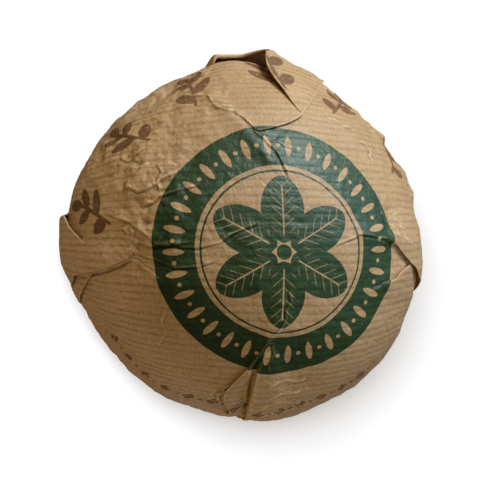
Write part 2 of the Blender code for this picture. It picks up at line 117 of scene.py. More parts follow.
# Sharp creases: a line of the sheet in mm, the ridge's height and width, and the depth of the dip beside it,
# which is above 0 for a dip on the left of the line's own direction and below 0 for one on the right
CREASES = (
    (((-19.5, 40.2), (-17, 39.6), (-15, 38.9), (-14.2, 36.6), (-13.2, 34.6), (-11.6, 34), (-10.4, 33.2),
      (-9, 33.6), (-8.2, 32), (-6.9, 31.4), (-6.3, 30), (-5.4, 28.4)), 0.38, 0.24, -0.23),
    (((-16.4, 37.6), (-15.2, 36), (-13.4, 35.8), (-12, 35.2), (-9.6, 35), (-7.6, 33.2),
      (-6.4, 32.2)), 0.22, 0.22, 0.11),
    (((-6.5, 30), (-4.5, 26.8), (-2.9, 25.6), (-2.2, 24.2), (-1.2, 23.5), (-0.4, 22.2), (0.7, 20),
      (1.2, 18.6), (2.4, 15.5)), 0.32, 0.3, -0.5),
    (((-1, 25.4), (1.5, 23.6), (4.5, 22.4)), 0.19, 0.3, 0.15),
    (((-22, 2.6), (-25, 1.8), (-28.1, 1.7), (-29.6, 3.6), (-31.4, 4.8), (-34.2, 6.8), (-38.1, 8.1),
      (-42, 9.9)), 0.28, 0.24, 0.19),
    (((-37, 3.4), (-34.6, 3), (-33, 2), (-31.6, 2.2), (-29.4, 1.2), (-25.6, 1.4),
      (-20, 2.4)), 0.28, 0.24, -0.23),
    (((-36, -1.8), (-32.7, -2.4), (-31.2, -3.8), (-29.7, -4.5), (-27.3, -6.4)), 0.31, 0.22, 0.23),
    (((-34, -1.8), (-35.4, -2.8), (-37.5, -3.9), (-39.7, -4.9), (-42.6, -6), (-46, -6.9), (-51, -8.5),
      (-55.4, -9.8)), -0.6, 0.36, 0),
    (((-36.4, 5.6), (-35, 4.2), (-35.6, 2.8), (-34, 1.6), (-34.6, 0.4), (-32.6, -0.8)), 0.3, 0.22, -0.26),
    (((-34.4, 5.4), (-33.2, 4.6), (-33.6, 3.2), (-32, 2.6)), 0.26, 0.22, 0.22),
    (((-37.6, 2.2), (-36.2, 1.6), (-35.8, 0.2), (-34.4, -0.6)), 0.24, 0.22, -0.2),
    (((-33, -0.6), (-29, -1.6), (-24, -3.6), (-19, -3.2), (-15, -1.8)), 0.19, 0.26, -0.31),
    (((-25, 2.6), (-22.4, 1.2), (-19, 1), (-14, 2.2), (-11, 4.2), (-9, 5), (-5, 6.4)), 0.23, 0.3, -0.39),
    (((-31.5, 10.5), (-28.6, 11.2), (-27, 12.5), (-23, 13.6), (-18, 15)), 0.34, 0.26, -0.36),
    (((-36, 15.4), (-34, 15), (-32, 13.8), (-30, 14.2), (-27.4, 15.6), (-26.5, 16.5),
      (-22, 18.5)), 0.4, 0.24, -0.3),
    (((-36.2, 19.6), (-34, 20.4), (-31.8, 20.1), (-29.4, 21.2)), 0.36, 0.24, 0.26),
    (((-27.6, 20.6), (-26.4, 18.2), (-27.3, 16), (-26.8, 13.6)), 0.4, 0.24, -0.28),
    (((-38.4, 24), (-36, 22.6), (-33.6, 23.4), (-31, 25.2), (-29.4, 25)), 0.22, 0.26, -0.2),
    (((12, 1.2), (14, 2), (17, 2.8), (18.4, 3.7), (22.3, 3.1), (24.6, 2.6), (26.6, 2.4),
      (28.4, 1.3)), 0.31, 0.24, -0.43),
    (((25.8, 8.8), (27, 7.8), (27.2, 6.4), (28.6, 5.4), (27.4, 4), (28.6, 1.6)), 0.31, 0.24, -0.23),
    (((28.4, 9.8), (29.8, 8.2), (29.2, 6.2), (30.6, 4.8), (31, 3.4)), 0.26, 0.22, 0.23),
    (((29.6, 9.2), (31.2, 8.4), (31, 7), (32.6, 6.2), (32.2, 4.8)), 0.34, 0.24, -0.3),
    (((31.4, 9.6), (32.8, 8.8), (33.6, 7.4), (33.2, 5.8), (34.4, 4.6)), 0.28, 0.24, 0.26),
    (((29.4, 3.8), (31, 2.6), (32.6, 2.8), (34, 1.4), (36, 0.6)), 0.36, 0.26, -0.38),
    (((22.5, -9), (24.4, -8.8), (26, -8), (28.7, -7.8)), 0.27, 0.22, 0.15),
    (((1.2, -8), (1.8, -11), (0.8, -13), (1, -15), (-0.3, -17.5), (-2, -19.6)), 0.23, 0.26, -0.19),
    (((-1.6, -21), (-3.6, -23.6), (-5, -27.5), (-5.2, -32.9), (-5, -36.7), (-4.7, -42),
      (-4.4, -46.5)), -0.95, 0.6, 0),
    (((-2.4, -20.6), (-1, -23.6), (-2.2, -26.4), (-1.4, -28.8)), 0.23, 0.22, -0.15),
    (((-1.5, -33), (1, -31.6), (3, -31), (6, -32.4), (9, -32)), 0.42, 0.34, -0.36),
    (((-2, -41), (0, -39), (1.5, -38), (5.5, -39.6), (10, -41)), 0.5, 0.34, -0.42),
    (((-1.2, -36.4), (2.2, -34.8), (5, -35.6), (8, -35.2)), 0.36, 0.3, 0.3),
    (((-3, -46.5), (0.5, -44), (3, -45), (5, -43.6)), 0.31, 0.3, -0.31),
    (((-9.8, -34), (-11.6, -36.2), (-11, -37.8), (-12.8, -39.4), (-12.2, -41.6),
      (-13.6, -43.4)), 0.34, 0.24, 0.38),
    (((-13, -36.6), (-14.4, -38.8), (-13.8, -40.6), (-15.6, -42.4)), 0.26, 0.24, 0.26),
    (((15, 34), (18, 33.2), (20.5, 31.5), (23.5, 32)), 0.23, 0.24, -0.23),
    (((24.5, 28), (26.6, 27.2), (27.5, 25.5), (26.6, 23.8), (27, 22)), 0.31, 0.24, -0.23),
    (((-38, -8), (-37, -14), (-36.4, -20)), 0.09, 0.22, 0.08),
    (((-26, -13), (-27.6, -17), (-27, -21), (-29, -25)), 0.13, 0.22, 0.09),
)

# How strongly the paper is crumpled: middle (degrees, arc), spread, strength
CRUMPLED = (
    (172, 31, 9, 1.5), (145, 34, 9, 1.7), (120, 43, 12, 0.9), (152, 50, 9, 0.9), (93, 25, 6, 1.1),
    (10, 29, 5, 2), (-12, 38, 7, 0.8), (-92, 20, 5, 1.4), (-86, 40, 9, 1.3), (-92, 54, 10, 1.6),
    (48, 42, 10, 0.9), (52, 54, 7, 1.3), (36, 54, 6, 2.6), (20, 51, 7, 2.2), (5, 53, 8, 1.4),
    (180, 14, 8, 0.8), (-30, 55, 12, 0.9), (-60, 56, 9, 0.9), (120, 56, 9, 0.8),
)
CRUMPLE_FLOOR = 0.4
CRUMPLE_RIM = 0.4
CRUMPLE_RIM_ARCS = (44.0, 58.0)

# Patches where the paper is made lighter, and darker below 0: middle (degrees, arc), spread, strength
TONE_PATCHES_AND_PAINTED_LIGHT = (
    # Painted light: the patch at 179 degrees lightens the left flap, which its slope turns from the key
    # light
    (179, 46, 11, 1.1), (152, 48, 13, 0.9), (-161, 38, 6, 0.5), (180, 30, 8, 0.3), (-148, 34, 9, -0.15),
    (-128, 44, 12, -0.1), (-60, 36, 9, 0.2), (-88, 50, 12, 0.45), (128, 38, 9, 0.05), (126, 50, 9, 0.35),
    (75, 40, 9, 0.25), (-38, 46, 8, -0.35),
)

# Layers of flat facets between random creases: distance between their corners, height in mm, least strength
FACETS = ((13.0, 0.38, 0.9), (5.2, 0.26, 0.0), (2.3, 0.15, 0.0), (1.2, 0.07, 0.0))
FACET_JITTER = 0.45
# The share of the facets' relief in the bend, which places the pale ridges and the painted shade in the
# valleys
FACET_MARKS = 0.35

# Each fold lies between its free edge and its root, as rows of degrees, arc and lift off the cake. Its bulge
# says how full it rises from the root, and its depth how far the paper is tucked back under the free edge.
# Its roll gives the radius of that edge from its start to its end, where it isn't the thin one
THIN_ROLL = (0.16, 0.16)
FOLDS = {
    "crown_tuck": {
        "free": ((108, 37, -0.3), (104.5, 33.2, 0.1), (101.8, 30.4, 0.35), (99.4, 28.2, 0.5),
                 (96, 28.1, 0.6), (91, 28.8, 0.7), (86, 29.8, 0.8), (81.5, 31.2, 0.9), (77.3, 33.5, 1),
                 (75, 36.5, 1), (72, 41, 1), (69.5, 46, 1), (67.5, 50.5, 1), (66, 54.5, 0.9), (65, 58, 0.6),
                 (64.5, 62, -0.3)),
        "root": ((111, 41, -0.3), (108, 46, -0.3), (104, 50, -0.3), (96, 54, -0.3), (86, 57, -0.3),
                 (76, 60, -0.3), (69, 63, -0.3)),
        "bulge": 0.2, "depth": 2,
    },
    "top_flap": {
        "free": ((103, 59, -0.4), (102, 57, 0.6), (100.5, 57, 1.9), (98, 57, 1.6), (95.5, 57, 1.5),
                 (93.2, 57, 1.6), (91, 56.3, 2.2), (89, 55.8, 3), (87.2, 55, 3.7), (86.4, 53.8, 4.2),
                 (87.1, 51.6, 3.6), (87.6, 48, 2.8), (86.6, 44.5, 2.2), (84, 40.3, 1.8), (81, 36.7, 1.4),
                 (78.2, 34.2, 1.15)),
        "root": ((106, 61, -0.6), (103, 64.5, -0.6), (96, 67, -0.6), (86, 67, -0.6), (76, 66, -0.5),
                 (69, 64, -0.4), (66.5, 60, 0.2), (67, 56, 0.85), (68.2, 52, 0.95), (69.9, 47.6, 0.98),
                 (72.3, 41.4, 1), (75.2, 36.9, 1), (77.6, 34, 1.05)),
        "bulge": 1.6, "depth": 5, "roll": (0.5, 0.45, 0.2, 0.16, 0.16),
    },
    "left_pocket": {
        "free": ((170.2, 61, -0.3), (170.6, 58.8, 1.7), (171, 57.4, 2), (172.6, 56.2, 1.6),
                 (174.5, 53.6, 1.5), (176, 51.3, 1.4), (177.6, 49.6, 1.1), (178.8, 48.6, 0.7)),
        "root": ((167, 67, -0.6), (173, 70, -0.6), (180, 70.5, -0.6), (-174, 70, -0.6), (-168, 67, -0.5),
                 (-166.5, 62, -0.1), (-168, 57, 1), (-171.3, 53.2, 1.55), (-176, 50.4, 1.1),
                 (179.5, 48.5, 0.6)),
        "bulge": 1, "depth": 3, "roll": (0.25, 0.25),
    },
    "left_under": {
        "free": ((-174, 46.5, -0.1), (-170.5, 49, 0.6), (-167.5, 52, 1), (-165, 55, 1), (-163, 57.5, 0.8),
                 (-161, 62, 0.2)),
        "root": ((-176, 49.5, -0.2), (-174, 54, -0.2), (-172, 60, -0.3), (-169, 66, -0.4), (-164, 68, -0.4),
                 (-161, 67, -0.4)),
        "bulge": 0.6, "depth": 2,
    },
    "left_flap": {
        "free": ((177, 32.5, -0.2), (-178.5, 34.4, 0.3), (-176.5, 36.4, 0.8), (-175.4, 38.4, 1.2),
                 (-174, 41.2, 1.6), (-173, 45.6, 1.9), (-172, 50.8, 2), (-171.6, 53, 2),
                 (-172.2, 54.3, 1.9)),
        "root": ((173, 30, -0.2), (169, 35, -0.2), (166, 41, -0.2), (168, 45.5, -0.2), (172, 48.3, 0.2),
                 (176.3, 49.2, 0.9)),
        "bulge": -0.2, "depth": 3,
    },
    "bottom_pleat": {
        "free": ((-93, 17.5, -0.2), (-96, 19.5, 0.2), (-98.5, 21.3, 0.4), (-101, 24.8, 0.6),
                 (-102.5, 27.3, 0.8), (-103.5, 29.3, 0.9), (-105, 31.5, 1), (-106.5, 35, 1),
                 (-107, 37.8, 1.1), (-106, 40.5, 1.2), (-104.5, 42.5, 1.2), (-101.5, 45.5, 1.1),
                 (-100, 50, 0.9), (-99, 55, 0.4), (-98, 60, -0.2)),
        "root": ((-90, 18, -0.3), (-93, 24, -0.3), (-95, 29, -0.5), (-95.5, 34, -0.7), (-95, 40, -0.8),
                 (-94, 46, -0.8), (-92, 53, -0.7), (-91, 60, -0.5)),
        "bulge": 0.3, "depth": 2.5,
    },
    "bottom_lap": {
        "free": ((-92, 21, -0.2), (-96, 23.5, 0.3), (-98.3, 26, 0.8), (-98.4, 28.8, 1.2), (-98, 31.3, 1.5),
                 (-97.5, 34.8, 1.7), (-96.5, 40.8, 1.8), (-95, 46, 1.5), (-93.5, 51, 0.9), (-93, 56, 0.4),
                 (-92.5, 61, 0.1)),
        "root": ((-85, 21, -0.2), (-80, 29, -0.2), (-77, 38, -0.2), (-76, 46, -0.2), (-77, 54, -0.2),
                 (-80, 62, -0.4)),
        "bulge": 0.5, "depth": 2.5,
    },
    "right_tuck": {
        "free": ((-19, 26, -0.2), (-15.5, 28.2, 0.3), (-14, 30.7, 0.5), (-11.5, 31.8, 0.6), (-8.4, 34, 0.7),
                 (-7.4, 35.7, 0.7), (-9.6, 36.9, 0.7), (-13.5, 39.5, 0.7), (-17.5, 43, 0.5), (-20, 48, 0.1)),
        "root": ((-25, 27, -0.2), (-29, 34, -0.2), (-30, 40, -0.2), (-28, 46, -0.2), (-24, 51, -0.2)),
        "bulge": 0.3, "depth": 2,
    },
    "right_lap": {
        "free": ((9, 25, -0.2), (5.5, 27.2, 0.2), (3, 28.5, 0.5), (1.5, 30.3, 0.7), (-2, 32.5, 0.9),
                 (-5.5, 35.3, 1.15), (-7.2, 37.2, 1.25), (-9.5, 39.8, 1.35), (-11.5, 43.8, 1.35),
                 (-13.5, 49, 1.3), (-15.8, 54, 1.1), (-18, 60, 0.1)),
        "root": ((14, 26, -0.2), (19, 33, -0.2), (21, 40, -0.2), (19, 48, -0.2), (12, 56, -0.3),
                 (2, 62, -0.4)),
        "bulge": 0.2, "depth": 3,
    },
}


# Settings that a user would change

class PaperSettings(bpy.types.PropertyGroup):
    cells: IntProperty(name="Cells", description="Grid cells across the crown", default=312, min=16)
    crown_reach: FloatProperty(
        name="Crown reach", description="Arc of the crown's grid, in mm", default=36.0,
    )
    side_reach: FloatProperty(
        name="Side reach", description="Arc where the side's grid ends, in mm", default=58.0,
    )
    side_rows: IntProperty(name="Side rows", description="Rows of faces down the side", default=70)
    base_rows: IntProperty(name="Base rows", description="Rows of faces under the rim", default=72)
    fold_columns: IntProperty(name="Fold columns", description="Columns of faces along a fold", default=130)
    fold_rows: IntProperty(name="Fold rows", description="Rows of faces across a fold's top", default=34)
    rib_pitch: FloatProperty(
        name="Rib pitch", description="Distance between the paper's ribs, in mm", default=1.85,
    )
    light_kraft: FloatVectorProperty(
        name="Light kraft", description="Colour of the paper between the ribs", subtype="COLOR",
        default=(0.45, 0.262, 0.135),
    )
    dark_kraft: FloatVectorProperty(
        name="Dark kraft", description="Colour of the paper's ribs and mottling", subtype="COLOR",
        default=(0.25, 0.133, 0.055),
    )


class PrintSettings(bpy.types.PropertyGroup):
    roundel_radius: FloatProperty(
        name="Roundel", description="Radius of the green roundel, in mm", default=29.0,
    )
    ring_radius: FloatProperty(name="Ring", description="Radius of the pale ring line, in mm", default=19.0)
    green_ink: FloatVectorProperty(
        name="Green ink", description="Colour of the roundel", subtype="COLOR",
        default=(0.0075, 0.034, 0.0055),
    )
    brown_ink: FloatVectorProperty(
        name="Brown ink", description="Colour of the sprigs and the border", subtype="COLOR",
        default=(0.15, 0.055, 0.018),
    )


class StudioSettings(bpy.types.PropertyGroup):
    distance: FloatProperty(
        name="Distance", description="From the camera to the cake", default=0.42, unit="LENGTH",
    )
    tilt: FloatProperty(
        name="Tilt", description="Camera's lean from straight overhead", default=math.radians(13.5),
        unit="ROTATION",
    )
    heading: FloatProperty(
        name="Heading", description="Way the camera leans, from +X", default=math.radians(168.1),
        unit="ROTATION",
    )
    key_power: FloatProperty(name="Key", description="Power of the cake's light in watts", default=9.0)
    cool_power: FloatProperty(
        name="Cool", description="Power of the faint bluish light from the right", default=0.6,
    )
    fill_power: FloatProperty(name="Fill", description="Power of the weak light from the right", default=0.9)
    left_power: FloatProperty(
        name="Left", description="Power of the faint light from the lower left", default=0.15,
    )
    floor_power: FloatProperty(
        name="Floor light", description="Power of the floor's light in watts", default=14.5,
    )
    floor_fill_power: FloatProperty(
        name="Floor fill", description="Power of the floor's overhead light", default=3.0,
    )
    sky: FloatProperty(name="Sky", description="Strength of the even light all round", default=0.38)


# The turned shape and the places on it

def turned_profile():
    """(radius, height) from the top of the crown, down over the girth, under the rim and up the hollow."""
    points = []
    for t in np.linspace(0.0, math.pi / 2, PROFILE_POINTS["crown"]):
        points.append((GIRTH_RADIUS * math.sin(t), GIRTH_HEIGHT + CROWN_HEIGHT * math.cos(t)))
    rim = GIRTH_RADIUS - FOOT_OUTER_RADIUS
    for t in np.linspace(0.0, math.pi / 2, PROFILE_POINTS["turn"] + 1)[1:]:
        points.append((FOOT_OUTER_RADIUS + rim * math.cos(t), GIRTH_HEIGHT * (1.0 - math.sin(t))))
    for radius in np.linspace(FOOT_OUTER_RADIUS, FOOT_INNER_RADIUS, PROFILE_POINTS["foot"])[1:]:
        points.append((radius, 0.0))
    for t in np.linspace(0.0, 1.0, PROFILE_POINTS["hollow"] + 1)[1:]:
        radius = FOOT_INNER_RADIUS + (HOLLOW_TOP_RADIUS - FOOT_INNER_RADIUS) * t
        points.append((radius, HOLLOW_DEPTH * (1.0 - math.cos(math.pi * t)) / 2))
    for t in np.linspace(0.0, math.pi / 2, PROFILE_POINTS["twist"]):
        drop = (TWIST_ROOT_HEIGHT - TWIST_TIP_HEIGHT) * math.sin(t)
        points.append((TWIST_RADIUS * math.cos(t), TWIST_ROOT_HEIGHT - drop))
    return np.array(points)


PROFILE = turned_profile()
ARC = np.concatenate([[0.0], np.cumsum(np.hypot(*np.diff(PROFILE, axis=0).T))])
TIP_ARC = ARC[-1]
FOOT_START = ARC[PROFILE_POINTS["crown"] + PROFILE_POINTS["turn"] - 1]
FOOT_END = FOOT_START + FOOT_OUTER_RADIUS - FOOT_INNER_RADIUS


def smooth_step(x, low, high):
    """0 below low, 1 above high, and smooth between."""
    t = np.clip((x - low) / (high - low), 0.0, 1.0)
    return t * t * (3.0 - 2.0 * t)


def sheet_point(degrees, arc):
    """A place of the sheet as mm right and up."""
    return arc * math.cos(math.radians(degrees)), arc * math.sin(math.radians(degrees))


def pleat_edges():
    """The angles where the pleats start, unevenly spaced as a hand folds them."""
    dice = np.random.default_rng(SEED)
    widths = 1.0 + dice.uniform(-PLEAT_WANDER, PLEAT_WANDER, PLEATS)
    return np.concatenate([[0.0], np.cumsum(widths)]) / widths.sum() * 2 * math.pi


PLEAT_EDGES = pleat_edges()
PLEAT_HEIGHTS = np.random.default_rng(SEED + 1).uniform(*PLEAT_HEIGHT_RANGE, PLEATS)


def pleat_lift(angle, arc):
    """Lift of the knife pleats, each a long rise and a short drop, turned with the twist at their end."""
    turn = math.radians(TWIST_TURN_DEG) * smooth_step(arc, TIP_ARC - TWIST_RUN, TIP_ARC)
    around = np.mod(angle + turn, 2 * math.pi)
    index = np.clip(np.searchsorted(PLEAT_EDGES, around, side="right") - 1, 0, PLEATS - 1)
    share = (around - PLEAT_EDGES[index]) / (PLEAT_EDGES[index + 1] - PLEAT_EDGES[index])
    top = PLEAT_RISE_SHARE
    saw = np.where(share < top, share / top, (1.0 - share) / (1.0 - top))
    ripple = np.sin(share * PLEAT_RIPPLE_TURNS + index * PLEAT_RIPPLE_SHIFT)
    small = PLEAT_RIPPLE * ripple * np.sin(share * math.pi)
    grown = smooth_step(arc, PLEAT_START, PLEAT_FULL)
    faded = 1.0 - PLEAT_FADE * smooth_step(arc, TIP_ARC - PLEAT_FADE_RUN, TIP_ARC)
    return PLEAT_STEP * PLEAT_HEIGHTS[index] * (saw - PLEAT_MIDDLE + small) * grown * faded


def swell_lift(angle, arc):
    """Lift of the soft swells, whose spread is measured round the cake."""
    total = np.zeros_like(angle)
    for degrees, centre, lift, spread in SWELLS:
        turn = np.mod(angle - math.radians(degrees) + math.pi, 2 * math.pi) - math.pi
        total = total + lift * np.exp(-((turn * GIRTH_RADIUS) ** 2 + (arc - centre) ** 2) / spread**2)
    return total


def along_segment(x, y, start, end):
    """How far along a segment each place lies, its distance from it, and its side: +1 on the left."""
    run_x, run_y = end[0] - start[0], end[1] - start[1]
    share = ((x - start[0]) * run_x + (y - start[1]) * run_y) / (run_x**2 + run_y**2)
    share = np.clip(share, 0.0, 1.0)
    off_x, off_y = x - start[0] - share * run_x, y - start[1] - share * run_y
    side = np.sign(run_x * (y - start[1]) - run_y * (x - start[0]))
    return share, np.hypot(off_x, off_y), side


def ridge_lift(x, y):
    """Lift of the soft ridges."""
    total = np.zeros_like(x)
    for start, end, lift, half_width in RIDGES:
        _, gap, _ = along_segment(x, y, sheet_point(*start), sheet_point(*end))
        total = total + lift * np.exp(-((gap / half_width) ** 2))
    return total


# How the creases are shaped. The slope and the dip are in widths of the crease, and its reach is in mm
LONG_SLOPE = 4.0
DIP_PLACE = 1.5
DIP_DEPTH = 0.7
DIP_WIDTH = 0.7
CREASE_REACH = 8.0
CREASE_TAPER = 3.5
CREASE_STRENGTH = 0.8
CREASE_SWAY = 0.3
CREASE_WAVES = 3.1


def crease_lift(x, y):
    """Lift of the named creases: steep on the side of the dip, and a long slope on the other."""
    lift = np.zeros_like(x)
    for line, rise, width, dip in CREASES:
        ends = np.array(line)
        low, high = ends.min(axis=0) - CREASE_REACH, ends.max(axis=0) + CREASE_REACH
        close = (x > low[0]) & (x < high[0]) & (y > low[1]) & (y < high[1])
        near_x, near_y = x[close], y[close]
        near = np.full_like(near_x, FAR)
        share = np.zeros_like(near_x)
        for index, (start, end) in enumerate(zip(line, line[1:])):
            part, gap, side = along_segment(near_x, near_y, start, end)
            closer = gap < abs(near)
            near = np.where(closer, gap * np.where(side < 0, -1.0, 1.0), near)
            share = np.where(closer, (index + part) / (len(line) - 1), share)
        uneven = CREASE_STRENGTH + CREASE_SWAY * np.sin(share * CREASE_WAVES * len(line) + len(line))
        fade = np.minimum(1.0, CREASE_TAPER * np.sin(math.pi * share)) * uneven
        long_side = (near * math.copysign(1.0, dip) <= 0) & (rise > 0)
        ridge = rise * np.exp(-abs(near) / np.where(long_side, LONG_SLOPE * width, width))
        dip_place = math.copysign(DIP_PLACE * width, dip)
        valley = DIP_DEPTH * abs(dip) * np.exp(-(((near - dip_place) / (DIP_WIDTH * width)) ** 2))
        lift[close] += fade * (ridge - valley)
    return lift


def spots(x, y, rows):
    """The sum at these places of soft round spots: middle (degrees, arc), spread, strength."""
    total = np.zeros_like(x)
    for degrees, arc, spread, strength in rows:
        middle_x, middle_y = sheet_point(degrees, arc)
        total = total + strength * np.exp(-((x - middle_x) ** 2 + (y - middle_y) ** 2) / spread**2)
    return total


def facet_lift(line, spacing, height, evenness, seed):
    """Lift on the square grid of this line of places: a net of random triangles, bent along every side."""
    dice = np.random.default_rng(seed)
    steps = np.arange(line[0] - spacing, line[-1] + 2 * spacing, spacing)
    corner_x, corner_y = (axis.ravel() for axis in np.meshgrid(steps, steps))
    corner_x = corner_x + dice.uniform(-FACET_JITTER, FACET_JITTER, len(corner_x)) * spacing
    corner_y = corner_y + dice.uniform(-FACET_JITTER, FACET_JITTER, len(corner_y)) * spacing
    rim = CRUMPLE_RIM * smooth_step(np.hypot(corner_x, corner_y), *CRUMPLE_RIM_ARCS)
    strength = np.maximum(CRUMPLE_FLOOR + rim + spots(corner_x, corner_y, CRUMPLED), evenness)
    lifts = height * strength * dice.uniform(-1.0, 1.0, len(corner_x))
    corners = [Vector(pair) for pair in zip(corner_x, corner_y)]
    triangles = delaunay_2d_cdt(corners, [], [], 0, TINY)[2]
    cell = line[1] - line[0]
    lift = np.zeros((len(line), len(line)))
    for a, b, c in triangles:
        xs, ys = corner_x[[a, b, c]], corner_y[[a, b, c]]
        lowest, highest = np.array([xs.min(), ys.min()]), np.array([xs.max(), ys.max()])
        low = np.clip(np.ceil((lowest - line[0]) / cell), 0, len(line)).astype(int)
        high = np.clip(np.floor((highest - line[0]) / cell) + 1, 0, len(line)).astype(int)
        if (high <= low).any():
            continue
        x, y = line[None, low[0]:high[0]], line[low[1]:high[1], None]
        area = (ys[1] - ys[2]) * (xs[0] - xs[2]) + (xs[2] - xs[1]) * (ys[0] - ys[2])
        first = ((ys[1] - ys[2]) * (x - xs[2]) + (xs[2] - xs[1]) * (y - ys[2])) / area
        second = ((ys[2] - ys[0]) * (x - xs[2]) + (xs[0] - xs[2]) * (y - ys[2])) / area
        third = 1.0 - first - second
        inside = (first >= -TINY) & (second >= -TINY) & (third >= -TINY)
        plane = first * lifts[a] + second * lifts[b] + third * lifts[c]
        window = lift[low[1]:high[1], low[0]:high[0]]
        window[inside] = plane[inside]
    return lift


def softened(values, times):
    """The values averaged with their neighbours this many times."""
    for _ in range(times):
        for axis in (0, 1):
            values = (np.roll(values, 1, axis) + 2.0 * values + np.roll(values, -1, axis)) / 4.0
    return values


# The grid of the relief maps in mm, and how the bend is read from it
RELIEF_REACH = 74.0
RELIEF_CELL = 0.2
BEND_REACH = 9
BEND_SCALE = 0.03
FACET_SEED = SEED + 10


def relief_maps():
    """On a fine square grid of the flat sheet: the creases' lift, and their bend, above 0 on a ridge."""
    line = np.arange(-RELIEF_REACH, RELIEF_REACH + RELIEF_CELL, RELIEF_CELL)
    x, y = np.meshgrid(line, line)
    lift = crease_lift(x, y)
    folded = lift
    for index, (spacing, height, evenness) in enumerate(FACETS):
        lift = lift + facet_lift(line, spacing, height, evenness, FACET_SEED + index)
    lift = softened(lift, 1)
    # The bend marks ridges, worn pale and partly given a painted highlight, and valleys, where shade is
    # painted
    marked = folded + FACET_MARKS * (lift - folded)
    bend = np.tanh((marked - softened(marked, BEND_REACH)) / BEND_SCALE)
    return lift, bend


RELIEF_LIFT, RELIEF_BEND = relief_maps()


def unit(vectors):
    """The vectors, each made one long."""
    return vectors / np.maximum(np.linalg.norm(vectors, axis=1, keepdims=True), TINY)


def read_relief(grid, x, y):
    """Reads a relief map between its grid points."""
    column = np.clip((x + RELIEF_REACH) / RELIEF_CELL, 0, grid.shape[1] - 1.001)
    row = np.clip((y + RELIEF_REACH) / RELIEF_CELL, 0, grid.shape[0] - 1.001)
    i, j = column.astype(int), row.astype(int)
    right, up = column - i, row - j
    low = grid[j, i] * (1 - right) + grid[j, i + 1] * right
    high = grid[j + 1, i] * (1 - right) + grid[j + 1, i + 1] * right
    return low * (1 - up) + high * up


# Steps over which slopes are measured, and the run over which the foot's paper grows flat, in mm
PROFILE_STEP = 0.4
SLOPE_STEP = 0.12
PRESS_RUN = 1.5


def on_profile(arc):
    """Radius and height of the turned shape at this arc."""
    return np.interp(arc, ARC, PROFILE[:, 0]), np.interp(arc, ARC, PROFILE[:, 1])


def on_cake(x, y, lift=0.0, creased=1.0):
    """Places in mm of sheet points at this lift off the cake. Under the foot the paper is pressed flat."""
    x, y = np.asarray(x, float), np.asarray(y, float)
    angle, arc = np.arctan2(y, x), np.hypot(x, y)
    radius, height = on_profile(arc)
    next_radius, next_height = on_profile(arc + PROFILE_STEP)
    last_radius, last_height = on_profile(arc - PROFILE_STEP)
    length = np.maximum(np.hypot(next_radius - last_radius, next_height - last_height), TINY)
    out_radius = -(next_height - last_height) / length
    out_height = (next_radius - last_radius) / length
    off = lift + swell_lift(angle, arc) + ridge_lift(x, y) + pleat_lift(angle, arc)
    off = off + creased * read_relief(RELIEF_LIFT, x, y)
    pressed = smooth_step(arc, FOOT_START - PRESS_RUN, FOOT_START)
    pressed = pressed * (1.0 - smooth_step(arc, FOOT_END, FOOT_END + PRESS_RUN))
    off = off * (1.0 - pressed) + np.maximum(off, 0.0) * pressed
    oval = 1.0 + OVAL / GIRTH_RADIUS * np.cos(2 * (angle - math.radians(OVAL_DEG)))
    radius = (radius + out_radius * off) * oval
    height = np.maximum(height + out_height * off, 0.0)
    places = np.stack([radius * np.cos(angle), radius * np.sin(angle), height], axis=-1)
    places[..., :2] += np.array(CROWN_TOP[:2])
    return places


# Making the pieces

def new_piece(name, shell, places, sheet, bend, printed, material):
    """An object from a bmesh whose vertices go to these places in mm, with the paper's own attributes."""
    bmesh.ops.recalc_face_normals(shell, faces=shell.faces)
    mesh = bpy.data.meshes.new(name)
    shell.to_mesh(mesh)
    shell.free()
    mesh.vertices.foreach_set("co", (places * MM).ravel())
    flat = mesh.attributes.new("sheet", "FLOAT_VECTOR", "POINT")
    flat.data.foreach_set("vector", np.concatenate([sheet, np.zeros((len(sheet), 1))], axis=1).ravel())
    # Lighter and darker patches, one of them painted light on the left flap
    tone = spots(sheet[:, 0], sheet[:, 1], TONE_PATCHES_AND_PAINTED_LIGHT)
    for label, values in (("bend", bend), ("printed", printed), ("tone", tone)):
        layer = mesh.attributes.new(label, "FLOAT", "POINT")
        layer.data.foreach_set("value", np.ascontiguousarray(values))
    mesh.update()
    mesh.shade_smooth()
    middle = Vector((CROWN_TOP.x, CROWN_TOP.y, GIRTH_HEIGHT)) * MM
    outward = sum(face.normal.dot(face.center - middle) * face.area for face in mesh.polygons)
    if outward < 0:
        mesh.flip_normals()
    mesh.materials.append(material)
    piece = bpy.data.objects.new(name, mesh)
    bpy.context.scene.collection.objects.link(piece)
    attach(piece, "root")
    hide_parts("wrapped_tuocha")
    return piece


def disc_from_square(u, v):
    """Moves places of a square from -1 to 1 onto the unit disc, ring by ring."""
    across = abs(u) >= abs(v)
    safe_u, safe_v = np.where(u == 0, TINY, u), np.where(v == 0, TINY, v)
    radius = np.where(across, u, v)
    angle = np.where(across, math.pi / 4 * v / safe_u, math.pi / 2 - math.pi / 4 * u / safe_v)
    return radius * np.cos(angle), radius * np.sin(angle)


def disc_shell(cells, reach):
    """A flat gridded disc."""
    shell = bmesh.new()
    bmesh.ops.create_grid(shell, x_segments=cells, y_segments=cells, size=1.0)
    square = np.array([vertex.co[:2] for vertex in shell.verts])
    x, y = disc_from_square(square[:, 0], square[:, 1])
    for vertex, flat_x, flat_y in zip(shell.verts, x, y):
        vertex.co = (flat_x * reach, flat_y * reach, 0.0)
    return shell


